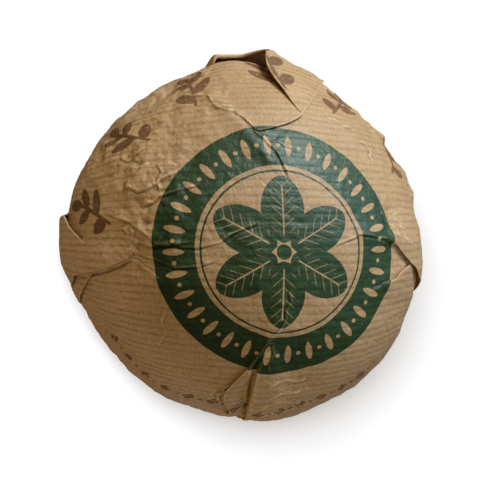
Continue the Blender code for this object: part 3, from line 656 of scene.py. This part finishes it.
def ring_shell(columns, rows, inner, outer, pointed=False):
    """A flat ring of this many columns and rows, whose outer circle may be drawn to one point."""
    shell = bmesh.new()
    bmesh.ops.create_circle(shell, cap_ends=False, segments=columns, radius=inner)
    edge = list(shell.edges)
    last = inner
    for arc in np.linspace(inner, outer, rows + 1)[1:]:
        pushed = bmesh.ops.extrude_edge_only(shell, edges=edge)["geom"]
        ring = [item for item in pushed if isinstance(item, bmesh.types.BMVert)]
        edge = [item for item in pushed if isinstance(item, bmesh.types.BMEdge) and item.is_boundary]
        bmesh.ops.scale(shell, vec=(arc / last, arc / last, 1.0), verts=ring)
        last = arc
    if pointed:
        bmesh.ops.pointmerge(shell, verts=ring, merge_co=(outer, 0.0, 0.0))
    return shell


def laid_piece(name, shell, material):
    """A flat shell laid over the cake, with its normals taken from the shape itself."""
    sheet = np.array([vertex.co[:2] for vertex in shell.verts])
    x, y = sheet[:, 0], sheet[:, 1]
    along_x = on_cake(x + SLOPE_STEP, y) - on_cake(x - SLOPE_STEP, y)
    along_y = on_cake(x, y + SLOPE_STEP) - on_cake(x, y - SLOPE_STEP)
    bend = read_relief(RELIEF_BEND, x, y)
    piece = new_piece(name, shell, on_cake(x, y), sheet, bend, np.ones(len(sheet)), material)
    piece.data.normals_split_custom_set_from_vertices(unit(np.cross(along_x, along_y)))


def wrapper(settings, material):
    """The sheet in three pieces: over the crown, down the side, and pleated under the rim to the twist."""
    columns = 4 * settings.cells
    crown = disc_shell(settings.cells, settings.crown_reach)
    laid_piece("paper_crown", crown, material)
    side = ring_shell(columns, settings.side_rows, settings.crown_reach, settings.side_reach)
    laid_piece("paper_side", side, material)
    base = ring_shell(columns, settings.base_rows, settings.side_reach, TIP_ARC, pointed=True)
    laid_piece("paper_base", base, material)


# How the folds are gridded, rolled and tucked, and how their free edges are worn and given a painted
# highlight, with lengths in mm
RAIL_STEPS = 12
ROLL_ROWS = 6
UNDER_ROWS = 12
MOST_TUCK = 0.9
SINK_START = 0.35
FOLD_RELIEF = 0.7
HIDDEN_LIFT = -0.5
INNER_SHARE = 0.97
FREE_EDGE_HIGHLIGHT_AND_WEAR = 0.8
HIGHLIGHT_AND_WEAR_WIDTH = 0.3


def smooth_rail(points, count):
    """A smooth line through a fold's points, evenly spaced, as rows of sheet x, sheet y and lift."""
    named = np.array([(*sheet_point(degrees, arc), lift) for degrees, arc, lift in points])
    hull = np.concatenate([2 * named[:1] - named[1:2], named, 2 * named[-1:] - named[-2:-1]])
    fine = []
    for a, b, c, d in zip(hull, hull[1:], hull[2:], hull[3:]):
        for t in np.linspace(0.0, 1.0, RAIL_STEPS, endpoint=False):
            bend = (2 * a - 5 * b + 4 * c - d) * t**2 + (3 * b - a - 3 * c + d) * t**3
            fine.append(b + 0.5 * ((c - a) * t + bend))
    fine.append(named[-1])
    fine = np.array(fine)
    run = np.concatenate([[0.0], np.cumsum(np.hypot(*np.diff(fine[:, :2], axis=0).T))])
    even = np.linspace(0.0, run[-1], count)
    return np.stack([np.interp(even, run, fine[:, axis]) for axis in range(3)], axis=-1)


def fold_sheet(fold, column, across):
    """Sheet places and lifts at these columns and shares across, from the root to the free edge."""
    free, root = fold["free_rail"][column], fold["root_rail"][column]
    sheet = root[:, :2] + (free[:, :2] - root[:, :2]) * across[:, None]
    eased = across**2 * (3.0 - 2.0 * across)
    rounded = 1.0 - (1.0 - across) ** 2
    share = eased + (rounded - eased) * fold["bulge"]
    return sheet, root[:, 2] + (free[:, 2] - root[:, 2]) * share


def fold_surface(fold, column, across, raised=0.0):
    """Places in mm on a fold's upper side, or this far above it, at one share across for all columns."""
    sheet, lift = fold_sheet(fold, column, np.full(len(column), across))
    return on_cake(sheet[:, 0], sheet[:, 1], lift + raised, FOLD_RELIEF)


def fold_piece(name, settings, material):
    """A fold: a grid from its root to its free edge, rolled over there and tucked back underneath."""
    columns, top_rows = settings.fold_columns, settings.fold_rows
    rolled_rows = top_rows + ROLL_ROWS
    rows = rolled_rows + UNDER_ROWS
    shell = bmesh.new()
    bmesh.ops.create_grid(shell, x_segments=columns, y_segments=rows, size=0.5)
    grid = np.array([vertex.co[:2] for vertex in shell.verts]) + 0.5
    column = np.rint(grid[:, 0] * columns).astype(int)
    row = np.rint(grid[:, 1] * rows).astype(int)
    fold = dict(FOLDS[name])
    fold["free_rail"] = smooth_rail(fold["free"], columns + 1)
    fold["root_rail"] = smooth_rail(fold["root"], columns + 1)
    radii = fold.get("roll", THIN_ROLL)
    roll = np.interp(column, np.linspace(0, columns, len(radii)), radii)

    width = np.linalg.norm(fold["free_rail"][:, :2] - fold["root_rail"][:, :2], axis=1)
    tuck = np.minimum(fold["depth"] / np.maximum(width, TINY), MOST_TUCK)[column]
    under = np.clip((row - rolled_rows) / UNDER_ROWS, 0.0, 1.0)
    tucked = row > rolled_rows
    across = np.where(tucked, 1.0 - tuck * under, np.clip(row / top_rows, 0.0, 1.0))
    sheet, lift = fold_sheet(fold, column, across)
    below = lift - 2 * roll
    lift = np.where(tucked, below + (HIDDEN_LIFT - below) * smooth_step(under, SINK_START, 1.0), lift)
    places = on_cake(sheet[:, 0], sheet[:, 1], lift, FOLD_RELIEF)

    edge = fold_surface(fold, column, 1.0)
    outward = unit(edge - fold_surface(fold, column, INNER_SHARE))
    upward = fold_surface(fold, column, 1.0, raised=1.0) - edge
    upward = unit(upward - outward * np.sum(upward * outward, axis=1, keepdims=True))
    turn = np.clip((row - top_rows) / ROLL_ROWS, 0.0, 1.0)[:, None] * math.pi
    rolled = edge + roll[:, None] * (outward * np.sin(turn) - upward * (1.0 - np.cos(turn)))
    turning = (row > top_rows) & ~tucked
    places[turning] = rolled[turning]

    bend = read_relief(RELIEF_BEND, sheet[:, 0], sheet[:, 1])
    from_edge = (1.0 - across) * width[column]
    # The free edge counts as a ridge, so it is worn pale, partly as a painted highlight
    bend = np.maximum(bend, FREE_EDGE_HIGHLIGHT_AND_WEAR * np.exp(-((from_edge / HIGHLIGHT_AND_WEAR_WIDTH) ** 2)))
    printed = np.where(row > top_rows + ROLL_ROWS // 2, 0.0, 1.0)
    new_piece(name, shell, places, sheet, bend, printed, material)


# Materials

def math_method(operation, reflected=False):
    """A method of Wire that adds one Math node for the wire and the other values."""
    def method(self, *others):
        values = (*others, self) if reflected else (self, *others)
        return self.recipe.node("ShaderNodeMath", {"operation": operation}, dict(enumerate(values)))
    return method


class Wire:
    """A socket of a material. Sums with numbers and other wires add the Math nodes that work them out."""

    def __init__(self, recipe, socket):
        self.recipe = recipe
        self.socket = socket

    __add__ = math_method("ADD")
    __radd__ = math_method("ADD", reflected=True)
    __sub__ = math_method("SUBTRACT")
    __rsub__ = math_method("SUBTRACT", reflected=True)
    __mul__ = math_method("MULTIPLY")
    __rmul__ = math_method("MULTIPLY", reflected=True)
    __truediv__ = math_method("DIVIDE")
    __pow__ = math_method("POWER")
    __abs__ = math_method("ABSOLUTE")
    sin = math_method("SINE")
    cos = math_method("COSINE")
    fraction = math_method("FRACT")
    floor = math_method("FLOOR")
    at_least = math_method("MAXIMUM")
    at_most = math_method("MINIMUM")

    def __neg__(self):
        return self * -1.0

    def rise(self, low, high):
        """0 below low, 1 above high, and smooth between."""
        settings = {"interpolation_type": "SMOOTHSTEP"}
        return self.recipe.node("ShaderNodeMapRange", settings, {0: self, 1: low, 2: high, 3: 0.0, 4: 1.0})

    def below(self, edge, soft=0.06):
        """1 where this is under the edge, with a soft border."""
        return 1.0 - self.rise(edge - soft, edge + soft)


class Recipe:
    """A material in the making, round its Principled shader."""

    def __init__(self, name):
        self.material = bpy.data.materials.new(name)
        self.material.use_nodes = True
        self.tree = self.material.node_tree
        self.shader = self.tree.nodes["Principled BSDF"]

    def feed(self, socket, value):
        """Links a wire to a socket, or sets the socket's own value."""
        if isinstance(value, Wire):
            self.tree.links.new(value.socket, socket)
        else:
            socket.default_value = value

    def node(self, kind, settings=None, inputs=None, output=0):
        """Adds any node: its settings first, then the values or links of its sockets."""
        made = self.tree.nodes.new(kind)
        for name, value in (settings or {}).items():
            setattr(made, name, value)
        for key, value in (inputs or {}).items():
            self.feed(made.inputs[key], value)
        return Wire(self, made.outputs[output])

    def finished(self, inputs):
        """The material, with these values or wires on its shader."""
        for key, value in inputs.items():
            self.feed(self.shader.inputs[key], value)
        return self.material

    def mix(self, factor, *colours):
        """A colour between two colours."""
        first, second = (colour if isinstance(colour, Wire) else (*colour, 1.0) for colour in colours)
        return self.node("ShaderNodeMix", {"data_type": "RGBA"}, {0: factor, 6: first, 7: second}, 2)

    def layered(self, colour, layers):
        """A colour with layers of others over it, each given with how much of it shows."""
        for factor, tint in layers:
            colour = self.mix(factor, colour, tint)
        return colour

    def noise(self, x, y, detail, seed):
        """Soft noise from 0 to 1 at these places."""
        place = self.node("ShaderNodeCombineXYZ", None, {0: x, 1: y, 2: seed})
        return self.node("ShaderNodeTexNoise", None, {"Vector": place, "Scale": 1.0, "Detail": detail})

    def cracks(self, x, y, seed):
        """Distance to the nearest border of random cells."""
        place = self.node("ShaderNodeCombineXYZ", None, {0: x, 1: y, 2: seed})
        settings = {"feature": "DISTANCE_TO_EDGE"}
        return self.node("ShaderNodeTexVoronoi", settings, {"Vector": place, "Scale": 1.0})

    def attribute(self, name, output=2):
        """An attribute of the mesh, as a number unless the output says otherwise."""
        return self.node("ShaderNodeAttribute", {"attribute_name": name}, None, output)

    def sheet(self):
        """Millimetres right and up on the flat paper."""
        split = self.node("ShaderNodeSeparateXYZ", None, {0: self.attribute("sheet", 1)})
        return split, Wire(self, split.socket.node.outputs[1])


def leaf_shape(x, y, length, half_width):
    """1 inside a pointed leaf that runs from 0 to its length along x."""
    share = (x / length).at_least(0.0).at_most(1.0)
    width = half_width * 2.0 * (share * (1.0 - share)) ** 0.6 * 1.15
    return (abs(y) - width).below(-0.05, 0.07)


def turned(x, y, degrees):
    """Coordinates turned so that x runs the way of this angle."""
    c, s = math.cos(math.radians(degrees)), math.sin(math.radians(degrees))
    return x * c + y * s, y * c - x * s


# The print, in mm of the sheet
MARKS = 30
MARK_RADIUS = 24.2
MARK_LENGTH = 5.0
MARK_HALF_WIDTH = 0.85
BEAD_RADIUS = 0.5
BAND_GAP = 0.42
THIN_RING = (17.95, 18.4)
ROSETTE_LEAVES = 6
ROSETTE_START = 2.0
ROSETTE_LENGTH = 15.2
ROSETTE_HALF_WIDTH = 5.0
VEIN_HALF_WIDTH = 0.16
RIB_SLANT = 0.9
RIB_STEP = 2.3
HEART_RADIUS = 1.7
SPRIG_RADIUS = 48.0
SPRIG_DEG = (19.0, 181.0)
SPRIG_STEP_DEG = 27.0
SPRIG_SCALE = 1.75
STALK_HALF_WIDTH = 0.3
STALK_HALF_HEIGHT = 4.4
# Leaves of a sprig: height on the stalk, lean in degrees, length, half width
SPRIG_LEAVES = (
    (-3.4, 36, 3.9, 0.95), (-2.0, 142, 4.2, 1.0), (0.1, 44, 3.8, 0.9), (1.0, 134, 3.6, 0.9),
    (2.6, 84, 3.4, 0.95),
)
BORDER_RADIUS = 43.8
BORDER_SWAY = 7.6
BORDER_SWAY_DEG = (95.0, 138.0)
BORDER_DEG = (-150.0, -45.0)
BORDER_STEP_DEG = 8.0
DIAMOND_SIZE = 1.5
DOT_SIZE = 0.42


def sector_angle(angle, count):
    """Angle from the middle of the nearest of this many even sectors."""
    cells = angle * (count / (2 * math.pi))
    return (cells - (cells + 0.5).floor()) * (2 * math.pi / count)


def roundel_ink(recipe, x, y, radius, angle, settings):
    """1 where the roundel is green: a broad band with pale marks, a thin ring and a rosette of leaves."""
    edge = radius + (recipe.noise(x * 0.9, y * 0.9, 2.0, 3.0) - 0.5) * 0.25
    band = edge.below(settings.roundel_radius) * (1.0 - edge.below(settings.ring_radius + BAND_GAP))
    along = radius - MARK_RADIUS
    mark_side = sector_angle(angle, MARKS) * MARK_RADIUS
    marks = leaf_shape(along + MARK_LENGTH / 2, mark_side, MARK_LENGTH, MARK_HALF_WIDTH)
    bead_side = sector_angle(angle + math.pi / MARKS, MARKS) * MARK_RADIUS
    marks = marks.at_least(((bead_side * bead_side + along * along) ** 0.5).below(BEAD_RADIUS))
    ring = edge.below(THIN_RING[1]) * (1.0 - edge.below(THIN_RING[0]))
    turn = sector_angle(angle + math.pi / 2, ROSETTE_LEAVES)
    start = radius * turn.cos() - ROSETTE_START
    side = abs(radius * turn.sin())
    petals = leaf_shape(start, side, ROSETTE_LENGTH, ROSETTE_HALF_WIDTH)
    vein = side.below(VEIN_HALF_WIDTH) * start.rise(1.5, 2.0) * (1.0 - start.rise(12.5, 13.5))
    ribs = abs(((start - side * RIB_SLANT) / RIB_STEP).fraction() - 0.5).below(0.05, 0.03)
    ribs = ribs * side.below(2.6, 0.3) * start.rise(2.0, 3.0)
    rosette = (petals * (1.0 - vein.at_least(ribs * 0.7))).at_least(radius.below(HEART_RADIUS))
    return (band * (1.0 - marks)).at_least(ring).at_least(rosette)


def sprig_ink(radius, degrees):
    """1 where the leafy sprigs of the upper border are printed."""
    first, last = SPRIG_DEG
    cells = (degrees - first) / SPRIG_STEP_DEG
    way = (cells.floor() * 0.5).fraction() * -4.0 + 1.0
    side = (cells.fraction() - 0.5) * (math.radians(SPRIG_STEP_DEG) * -SPRIG_RADIUS / SPRIG_SCALE) * way
    up = (radius - SPRIG_RADIUS) / SPRIG_SCALE
    side = side + up * 0.22 - up * up * 0.03
    shapes = abs(side).below(STALK_HALF_WIDTH) * abs(up).below(STALK_HALF_HEIGHT)
    for height, lean, length, half_width in SPRIG_LEAVES:
        leaf_x, leaf_y = turned(side, up - height, lean)
        shapes = shapes.at_least(leaf_shape(leaf_x, leaf_y, length, half_width))
    return shapes * degrees.rise(first, first + 0.2) * (1.0 - degrees.rise(last - 0.2, last))


def border_ink(radius, degrees):
    """1 where the row of diamonds and dots of the lower border is printed."""
    cells = degrees / BORDER_STEP_DEG
    border_radius = (-degrees).rise(*BORDER_SWAY_DEG) * BORDER_SWAY + BORDER_RADIUS
    step = border_radius * math.radians(BORDER_STEP_DEG)
    side = (cells.fraction() - 0.5) * step
    up = radius - border_radius
    diamond = (abs(side) * 0.85 + abs(up) * 0.66).below(DIAMOND_SIZE)
    between = ((cells + 0.5).fraction() - 0.5) * step
    dot = (between * between + up * up).below(DOT_SIZE)
    first, last = BORDER_DEG
    return diamond.at_least(dot) * (1.0 - degrees.rise(last - 0.2, last)) * degrees.rise(first, first + 0.2)


# Colours of the paper's stains and worn places, and of the light and shade painted on it
YELLOWED = (0.42, 0.26, 0.1)
# Pale colour of worn crease ridges, partly a painted highlight
CREASE_WEAR_AND_HIGHLIGHT = (0.6, 0.39, 0.2)
# Colour of the lighter patches, one of which is painted light on the left flap
LIGHT_PATCH = (0.72, 0.44, 0.22)
RUBBED = (0.66, 0.42, 0.275)
REDDENED = (0.36, 0.19, 0.1)
# Painted light: a paler, cooler colour for the left side, as a bluish light from the left would give
LEFT_LIGHT_PAINT = (0.66, 0.42, 0.33)
# Painted shade laid in the valleys of the creases
FOLD_SHADE_PAINT = (0.11, 0.045, 0.02)
PAPER_SPECULAR = 0.6
BUMP_DISTANCE = 0.0003
PAPER_FLAG = "tuocha_paper"


def shade_of(colour, factor):
    """A lighter or darker shade of a plain colour."""
    return tuple(factor * part for part in colour)


def kraft_recipe(paper, ink):
    """Ribbed kraft paper with its print, laid out on the flat sheet. Shade is painted in its crease valleys
    and over the green toward the lower left, and light on its ridges, its left side and the left flap.
    """
    recipe = Recipe("kraft_paper")
    recipe.material[PAPER_FLAG] = True
    x, y = recipe.sheet()
    radius = (x * x + y * y) ** 0.5
    angle = recipe.node("ShaderNodeMath", {"operation": "ARCTAN2"}, {0: y, 1: x})
    degrees = angle * (180.0 / math.pi)
    bend = recipe.attribute("bend")
    # Ridges of the bend: worn pale on the paper and partly given a painted highlight. The wear also rubs the
    # ink
    wear_and_highlight = bend.rise(0.4, 1.0)
    # Valleys of the bend, where shade is painted
    valley = (-bend).rise(0.25, 1.0)
    printed = recipe.attribute("printed")

    def grain(scale_x, scale_y, detail, seed):
        """Noise of the sheet, finer for larger scales."""
        return recipe.noise(x * scale_x, y * scale_y, detail, seed)

    rows = (y + (grain(0.04, 0.04, 1.0, 5.0) - 0.5) * 0.9) / paper.rib_pitch
    rib = abs(rows.fraction() - 0.5).below(0.2, 0.16)
    patchy = grain(0.11, 0.9, 3.0, 11.0).rise(0.36, 0.62)
    ticks = grain(2.3, 0.5, 2.0, rows.floor() * 7.3).rise(0.38, 0.66)
    mottle = grain(0.16, 0.16, 4.0, 23.0).rise(0.3, 0.75)
    stains = grain(0.055, 0.03, 3.0, 61.0)
    grit = grain(3.1, 3.1, 2.0, 29.0)
    fibres = grain(1.1, 2.3, 2.0, 83.0)
    flecks = grain(1.9, 1.9, 3.0, 31.0).rise(0.66, 0.74)
    blotches = grain(0.45, 0.5, 3.0, 71.0).rise(0.42, 0.68)
    threads = grain(0.5, 3.4, 2.0, 67.0).rise(0.4, 0.7)
    thin = grain(0.7, 1.4, 3.0, 37.0)
    # Toward the lower left. Painted shade darkens the green there, and the grain grows stronger
    lower_left = (x * -0.55 - y * 0.83).rise(4.0, 36.0)
    # The left side, where light is painted
    painted_left_light = (x * -0.83 - y * 0.55).rise(18.0, 44.0) * radius.rise(30.0, 42.0)
    strong = lower_left * 0.6 + 1.0
    tone = recipe.attribute("tone") + (blotches - 0.4) * 0.25

    light, dark, green_ink = tuple(paper.light_kraft), tuple(paper.dark_kraft), tuple(ink.green_ink)
    middle = tuple(0.55 * a + 0.45 * b for a, b in zip(light, dark))
    border = border_ink(radius, degrees) * thin.rise(0.36, 0.5)
    brown = (sprig_ink(radius, degrees) * thin.rise(0.22, 0.42)).at_least(border)
    brown = brown * printed * (1.0 - wear_and_highlight * 0.6)
    worn = (wear_and_highlight * 0.1).at_least(grain(1.3, 1.3, 4.0, 41.0).rise(0.66, 0.78) * 0.5)
    green = roundel_ink(recipe, x, y, radius, angle, ink) * printed * (1.0 - worn)
    inked = recipe.layered(green_ink, (
        (grain(0.5, 0.8, 4.0, 43.0).rise(0.35, 0.8) * 0.5, shade_of(green_ink, 1.9)),
        (rib * patchy * 0.3, shade_of(green_ink, 0.5)),
        # Painted shade: the green is darkened toward the lower left, the side turned from the key light
        (lower_left * 0.45, shade_of(green_ink, 0.45)),
    ))
    # Painted shade for the crease valleys: dark brown on bare paper, darker green on the ink
    painted_fold_shade = recipe.mix(green, FOLD_SHADE_PAINT, shade_of(green_ink, 0.3))
    colour = recipe.layered(light, (
        (mottle * 0.55, middle),
        (stains.rise(0.5, 0.66) * 0.4, YELLOWED),
        ((1.0 - stains.rise(0.34, 0.5)) * 0.3, REDDENED),
        (radius.rise(44.0, 60.0) * 0.58, RUBBED),
        (blotches * 0.24, dark),
        # Lighter and darker patches. The one on the left flap is painted light
        (tone.at_least(0.0).at_most(1.0) * 0.8, LIGHT_PATCH),
        ((-tone).at_least(0.0).at_most(1.0) * 0.6, dark),
        # Painted light: the left side made paler and cooler
        (painted_left_light * 0.6, LEFT_LIGHT_PAINT),
        (grit.rise(0.42, 0.68) * 0.4, light),
        (fibres.rise(0.5, 0.62) * strong * 0.3, light),
        ((1.0 - fibres.rise(0.38, 0.5)) * strong * 0.3, dark),
        (rib * (0.12 + patchy * (0.3 + ticks * 0.3)), dark),
        (ticks * 0.2, dark),
        (threads * strong * 0.16, dark),
        (flecks * 0.35, shade_of(dark, 0.6)),
        (brown * 0.92, tuple(ink.brown_ink)),
        (green * 0.96, inked),
        # Pale worn ridges, partly a painted highlight
        (wear_and_highlight * 0.52 * (1.0 - green), CREASE_WEAR_AND_HIGHLIGHT),
        # Painted shade in the crease valleys
        (valley * (0.56 + green * 0.2), painted_fold_shade),
    ))
    roughness = 0.64 - green * 0.12 - grain(0.4, 0.4, 2.0, 47.0).rise(0.4, 0.8) * 0.06

    fine_cracks = recipe.cracks(x * 0.22 + grain(0.3, 0.3, 2.0, 53.0) * 0.8, y * 0.22, 2.0)
    small_cracks = recipe.cracks(x * 0.55, y * 0.55 + grain(0.5, 0.5, 2.0, 59.0) * 0.7, 5.0)
    height = rib * -0.14 + ticks * -0.04 + grit * 0.16
    height = height + fine_cracks.rise(0.0, 0.16) * 0.14 + small_cracks.rise(0.0, 0.2) * 0.08
    relief = {"Strength": 1.0, "Distance": BUMP_DISTANCE, "Height": height}
    bump = recipe.node("ShaderNodeBump", None, relief)
    return recipe.finished({
        "Base Color": colour, "Roughness": roughness, "Specular IOR Level": PAPER_SPECULAR, "Normal": bump,
    })


def paper_material():
    """The kraft paper, made once and shared by the pieces. Its flag tells it from the CAD model's own."""
    for material in bpy.data.materials:
        if PAPER_FLAG in material:
            return material
    scene = bpy.context.scene
    return kraft_recipe(scene.tuocha_paper, scene.tuocha_print)


# The studio

CAKE_MIDDLE = Vector((0.0, 0.0, 0.02))
CAMERA_AIM_HEIGHT = 20.0
FRAME_WIDTH = 111.03
AIM_RIGHT = -3.45
AIM_UP = 1.37
SENSOR = 36.0
FLOOR_SIZE = 3.0
FLOOR_SHADE = (0.835, 0.865, 0.92, 1.0)
SKY_SHADE = (1.06, 0.9, 0.48, 1.0)
# Lights of the cake, then of the floor: name, power's setting, place, width, colour, seen in reflections
CAKE_LIGHTS = (
    ("key", "key_power", (0.37, 0.64, 0.43), 0.4, (0.89, 1.05, 1.1), True),
    ("cool", "cool_power", (0.55, 0.15, 0.33), 0.4, (0.3, 1.0, 1.8), True),
    ("fill", "fill_power", (0.45, -0.42, 0.3), 0.4, (0.8, 1.1, 1.66), False),
    ("left", "left_power", (-0.42, -0.38, 0.16), 0.3, (1.0, 0.85, 0.85), False),
)
FLOOR_LIGHTS = (
    ("floor_light", "floor_power", (-0.34, 0.33, 0.8), 1.15, (1.0, 1.0, 1.045), True),
    ("floor_fill", "floor_fill_power", (0.0, 0.0, 1.3), 0.8, (0.84, 0.93, 1.23), True),
)


def area_light(name, place, size, power, colour, glossy, lit):
    """A soft round light aimed at the cake, which lights only these objects."""
    data = bpy.data.lights.new(name, "AREA")
    data.shape = "DISK"
    data.size = size
    data.energy = power
    data.color = colour
    light = bpy.data.objects.new(name, data)
    light.location = place
    light.rotation_euler = (CAKE_MIDDLE - Vector(place)).to_track_quat("-Z", "Y").to_euler()
    light.visible_glossy = glossy
    bpy.context.scene.collection.objects.link(light)
    receivers = bpy.data.collections.new(name + "_lit")
    for item in lit:
        receivers.objects.link(item)
    light.light_linking.receiver_collection = receivers


def photo_camera(settings):
    """The camera at the photograph's angle: almost overhead, leaning to the left."""
    lean, way = math.sin(settings.tilt), settings.heading
    back = Vector((lean * math.cos(way), lean * math.sin(way), math.cos(settings.tilt)))
    up = Vector((0.0, 1.0, 0.0))
    up = (up - back * up.dot(back)).normalized()
    right = up.cross(back)
    aim = Vector((CROWN_TOP.x, CROWN_TOP.y, CAMERA_AIM_HEIGHT)) + right * AIM_RIGHT + up * AIM_UP
    data = bpy.data.cameras.new("camera")
    data.sensor_width = SENSOR
    data.lens = SENSOR * settings.distance / (FRAME_WIDTH * MM)
    data.clip_start = 0.01
    camera = bpy.data.objects.new("camera", data)
    camera.location = aim * MM + back * settings.distance
    camera.rotation_euler = Matrix((right, up, back)).transposed().to_euler()
    bpy.context.scene.collection.objects.link(camera)
    bpy.context.scene.camera = camera


def build_studio(settings):
    """The floor, the lights of the cake and of the floor, the even light all round and the camera."""
    shell = bmesh.new()
    bmesh.ops.create_grid(shell, x_segments=1, y_segments=1, size=FLOOR_SIZE / 2)
    mesh = bpy.data.meshes.new("floor")
    shell.to_mesh(mesh)
    shell.free()
    matt = {"Base Color": FLOOR_SHADE, "Roughness": 0.9, "Specular IOR Level": 0.1}
    mesh.materials.append(Recipe("pale_floor").finished(matt))
    floor = bpy.data.objects.new("floor", mesh)
    bpy.context.scene.collection.objects.link(floor)
    floor.visible_diffuse = False
    floor.visible_glossy = False
    pieces = [item for item in bpy.context.scene.objects if item.type == "MESH" and item is not floor]
    for lights, lit in ((CAKE_LIGHTS, pieces), (FLOOR_LIGHTS, [floor])):
        for name, power, place, size, colour, glossy in lights:
            area_light(name, place, size, getattr(settings, power), colour, glossy, lit)
    world = bpy.data.worlds.new("studio")
    world.use_nodes = True
    background = world.node_tree.nodes["Background"]
    background.inputs["Color"].default_value = SKY_SHADE
    background.inputs["Strength"].default_value = settings.sky
    world.cycles_visibility.glossy = False
    bpy.context.scene.world = world
    bpy.context.scene.view_settings.view_transform = "Standard"
    photo_camera(settings)


# Operators and panel

def make_folds(context, *names):
    """Makes these folds and says that the operator has finished."""
    for name in names:
        fold_piece(name, context.scene.tuocha_paper, paper_material())
    return {"FINISHED"}


class TUOCHA_OT_wrapper(bpy.types.Operator):
    """Lay the printed paper over the cake, pleat it under the rim and twist its corners"""
    bl_idname = "tuocha.wrapper"
    bl_label = "Wrapper"

    def execute(self, context):
        wrapper(context.scene.tuocha_paper, paper_material())
        return {"FINISHED"}


class TUOCHA_OT_top_folds(bpy.types.Operator):
    """Fold the paper's slack at the top: the tongue over the crown and the flap that stands up behind it"""
    bl_idname = "tuocha.top_folds"
    bl_label = "Top folds"

    def execute(self, context):
        return make_folds(context, "crown_tuck", "top_flap")


class TUOCHA_OT_left_folds(bpy.types.Operator):
    """Fold the corner on the left: the long flap, its open pocket and the layer under it"""
    bl_idname = "tuocha.left_folds"
    bl_label = "Left folds"

    def execute(self, context):
        return make_folds(context, "left_flap", "left_pocket", "left_under")


class TUOCHA_OT_bottom_folds(bpy.types.Operator):
    """Fold the knife pleat at the bottom and the lap over it"""
    bl_idname = "tuocha.bottom_folds"
    bl_label = "Bottom folds"

    def execute(self, context):
        return make_folds(context, "bottom_pleat", "bottom_lap")


class TUOCHA_OT_right_folds(bpy.types.Operator):
    """Fold the lap on the right and the tuck below it"""
    bl_idname = "tuocha.right_folds"
    bl_label = "Right folds"

    def execute(self, context):
        return make_folds(context, "right_lap", "right_tuck")


class TUOCHA_OT_studio(bpy.types.Operator):
    """Set the floor, the lights and the camera"""
    bl_idname = "tuocha.studio"
    bl_label = "Studio"

    def execute(self, context):
        build_studio(context.scene.tuocha_studio)
        return {"FINISHED"}


OPERATORS = (
    TUOCHA_OT_wrapper,
    TUOCHA_OT_top_folds,
    TUOCHA_OT_left_folds,
    TUOCHA_OT_bottom_folds,
    TUOCHA_OT_right_folds,
    TUOCHA_OT_studio,
)


class TUOCHA_PT_panel(bpy.types.Panel):
    """Buttons for the pieces, in the order in which they are made"""
    bl_idname = "TUOCHA_PT_panel"
    bl_label = "Wrapped Tuocha"
    bl_space_type = "VIEW_3D"
    bl_region_type = "UI"
    bl_category = "Tuocha"

    def draw(self, context):
        for maker in OPERATORS:
            self.layout.operator(maker.bl_idname)


CLASSES = (PaperSettings, PrintSettings, StudioSettings, *OPERATORS, TUOCHA_PT_panel)


def register():
    for item in CLASSES:
        bpy.utils.register_class(item)
    bpy.types.Scene.tuocha_paper = PointerProperty(type=PaperSettings)
    bpy.types.Scene.tuocha_print = PointerProperty(type=PrintSettings)
    bpy.types.Scene.tuocha_studio = PointerProperty(type=StudioSettings)


def unregister():
    del bpy.types.Scene.tuocha_studio
    del bpy.types.Scene.tuocha_print
    del bpy.types.Scene.tuocha_paper
    for item in reversed(CLASSES):
        bpy.utils.unregister_class(item)


def main():
    register()
    bpy.ops.tuocha.wrapper()
    bpy.ops.tuocha.top_folds()
    bpy.ops.tuocha.left_folds()
    bpy.ops.tuocha.bottom_folds()
    bpy.ops.tuocha.right_folds()
    bpy.ops.tuocha.studio()


if __name__ == "__main__":
    main()
